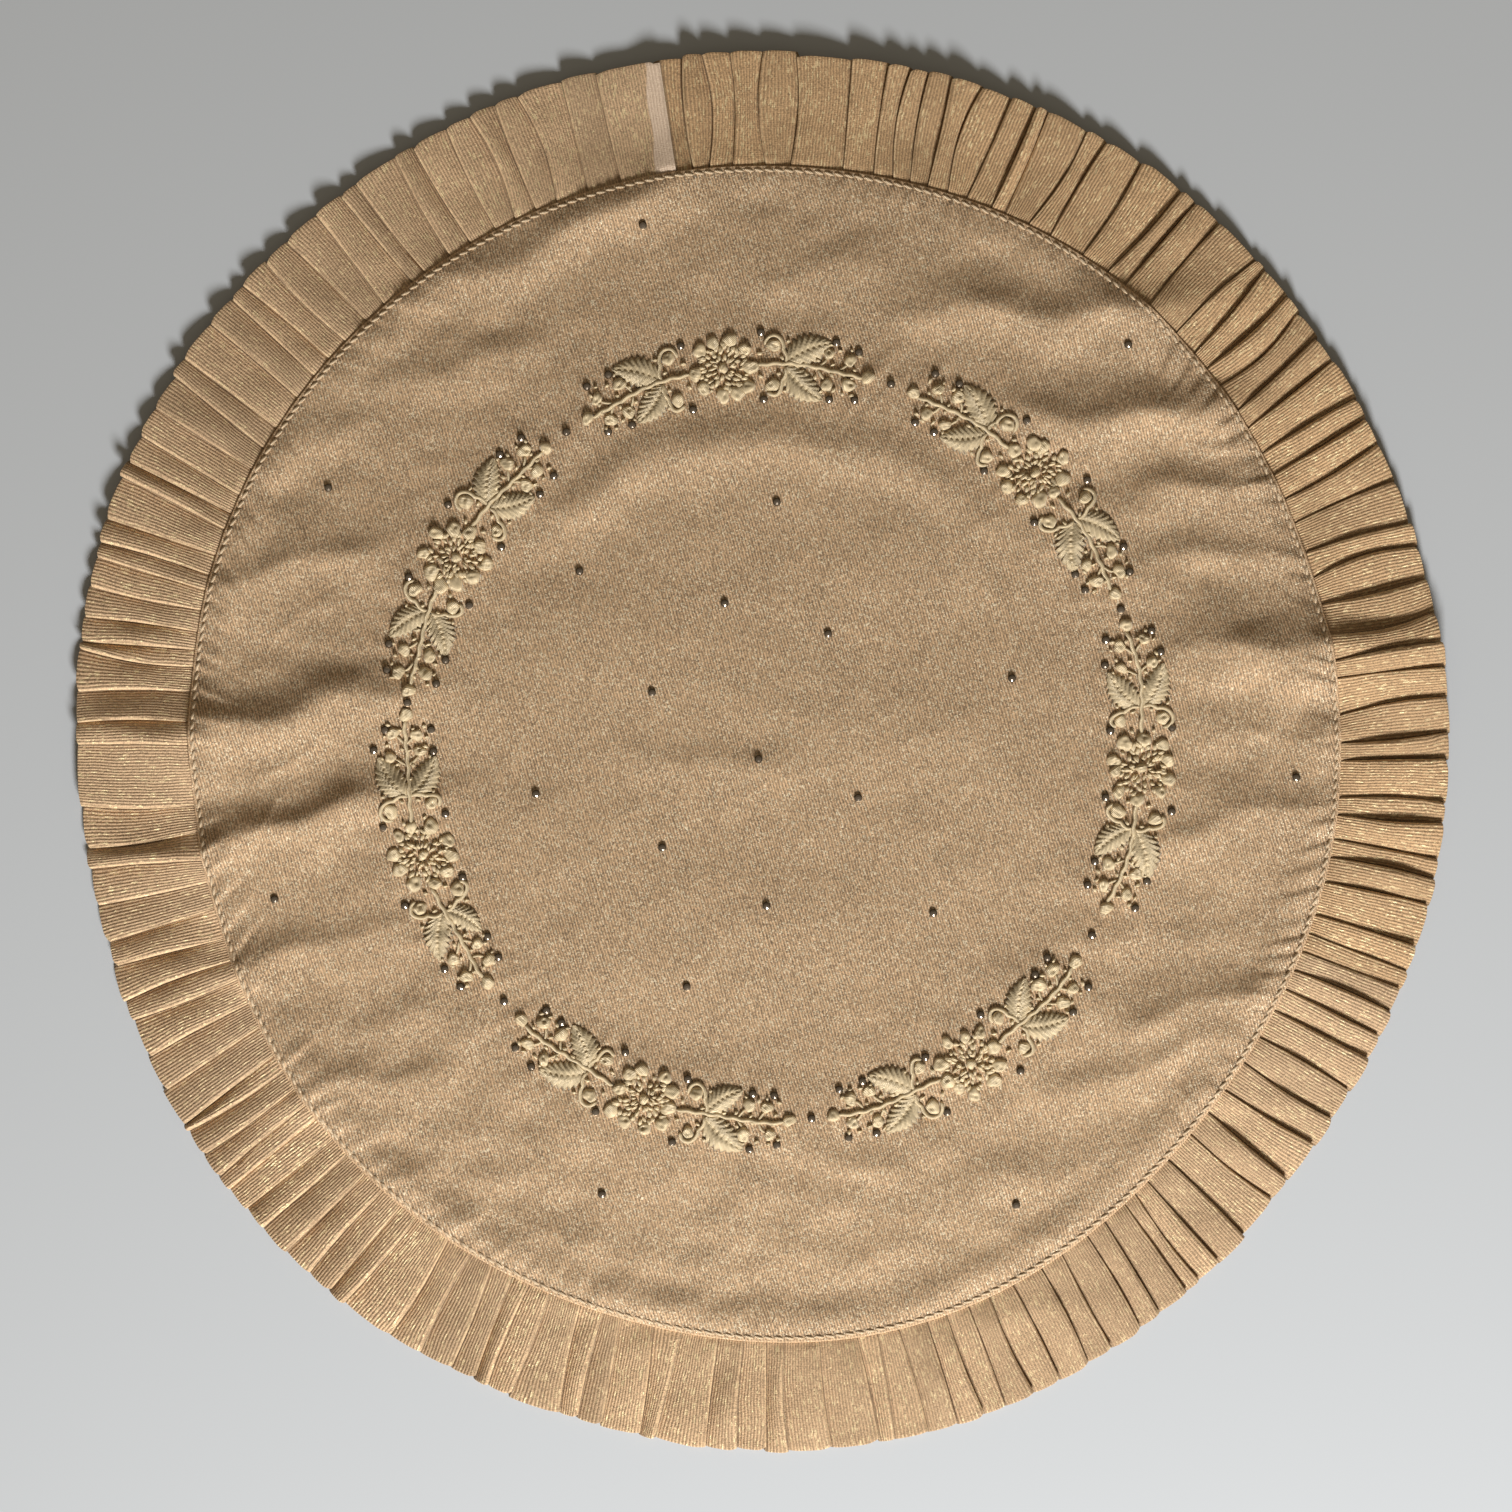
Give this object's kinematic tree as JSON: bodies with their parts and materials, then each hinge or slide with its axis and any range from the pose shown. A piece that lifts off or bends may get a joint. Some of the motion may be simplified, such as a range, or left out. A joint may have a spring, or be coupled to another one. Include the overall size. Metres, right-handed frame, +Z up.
{
  "type": "tree skirt",
  "caption": "Round lined skirt in gold glitter cloth with a knife-pleated ruffle, a padded embroidered garland ring and small set stones, lying flat.",
  "frame": {"origin": "under the middle of the whole outline, on the surface that the skirt lies on", "axes": "+Z up out of the face of the cloth, +Y towards the side with the wide flat pleats near the first ruffle join, +X to the right seen from above"},
  "size_m": [0.419, 0.4268, 0.005],
  "materials": {
    "gold_cloth": "champagne gold metallic-thread cloth with a fine slanting rib and metallic sparkle",
    "ruffle_cloth": "the same metallic-thread cloth, its rib running out from the middle, pressed in pleats",
    "lining": "plain matt beige lining cloth",
    "stabiliser": "matt off-white embroidery felt",
    "thread": "satin embroidery and sewing thread in pale champagne",
    "stone": "small faceted stone with a foiled back in a dark silver cup"
  },
  "bodies": {
    "root": {"face_panel": "gold_cloth", "lining_panel": "lining", "embroidery_backing": "stabiliser", "topstitch_thread": "thread", "ruffle_strip_1": "ruffle_cloth", "ruffle_strip_2": "ruffle_cloth", "ruffle_strip_3": "ruffle_cloth", "flower_1": "thread", "sprig_1_before": "thread", "sprig_1_after": "thread", "tip_stone_1": "stone", "flower_2": "thread", "sprig_2_before": "thread", "sprig_2_after": "thread", "tip_stone_2": "stone", "flower_3": "thread", "sprig_3_before": "thread", "sprig_3_after": "thread", "tip_stone_3": "stone", "flower_4": "thread", "sprig_4_before": "thread", "sprig_4_after": "thread", "tip_stone_4": "stone", "flower_5": "thread", "sprig_5_before": "thread", "sprig_5_after": "thread", "tip_stone_5": "stone", "flower_6": "thread", "sprig_6_before": "thread", "sprig_6_after": "thread", "tip_stone_6": "stone", "flower_7": "thread", "sprig_7_before": "thread", "sprig_7_after": "thread", "tip_stone_7": "stone", "field_stone_01": "stone", "field_stone_02": "stone", "field_stone_03": "stone", "field_stone_04": "stone", "field_stone_05": "stone", "field_stone_06": "stone", "field_stone_07": "stone", "field_stone_08": "stone", "field_stone_09": "stone", "field_stone_10": "stone", "field_stone_11": "stone", "field_stone_12": "stone", "field_stone_13": "stone", "field_stone_14": "stone", "field_stone_15": "stone", "field_stone_16": "stone", "field_stone_17": "stone", "field_stone_18": "stone", "field_stone_19": "stone", "field_stone_20": "stone"}
  },
  "joints": []
}
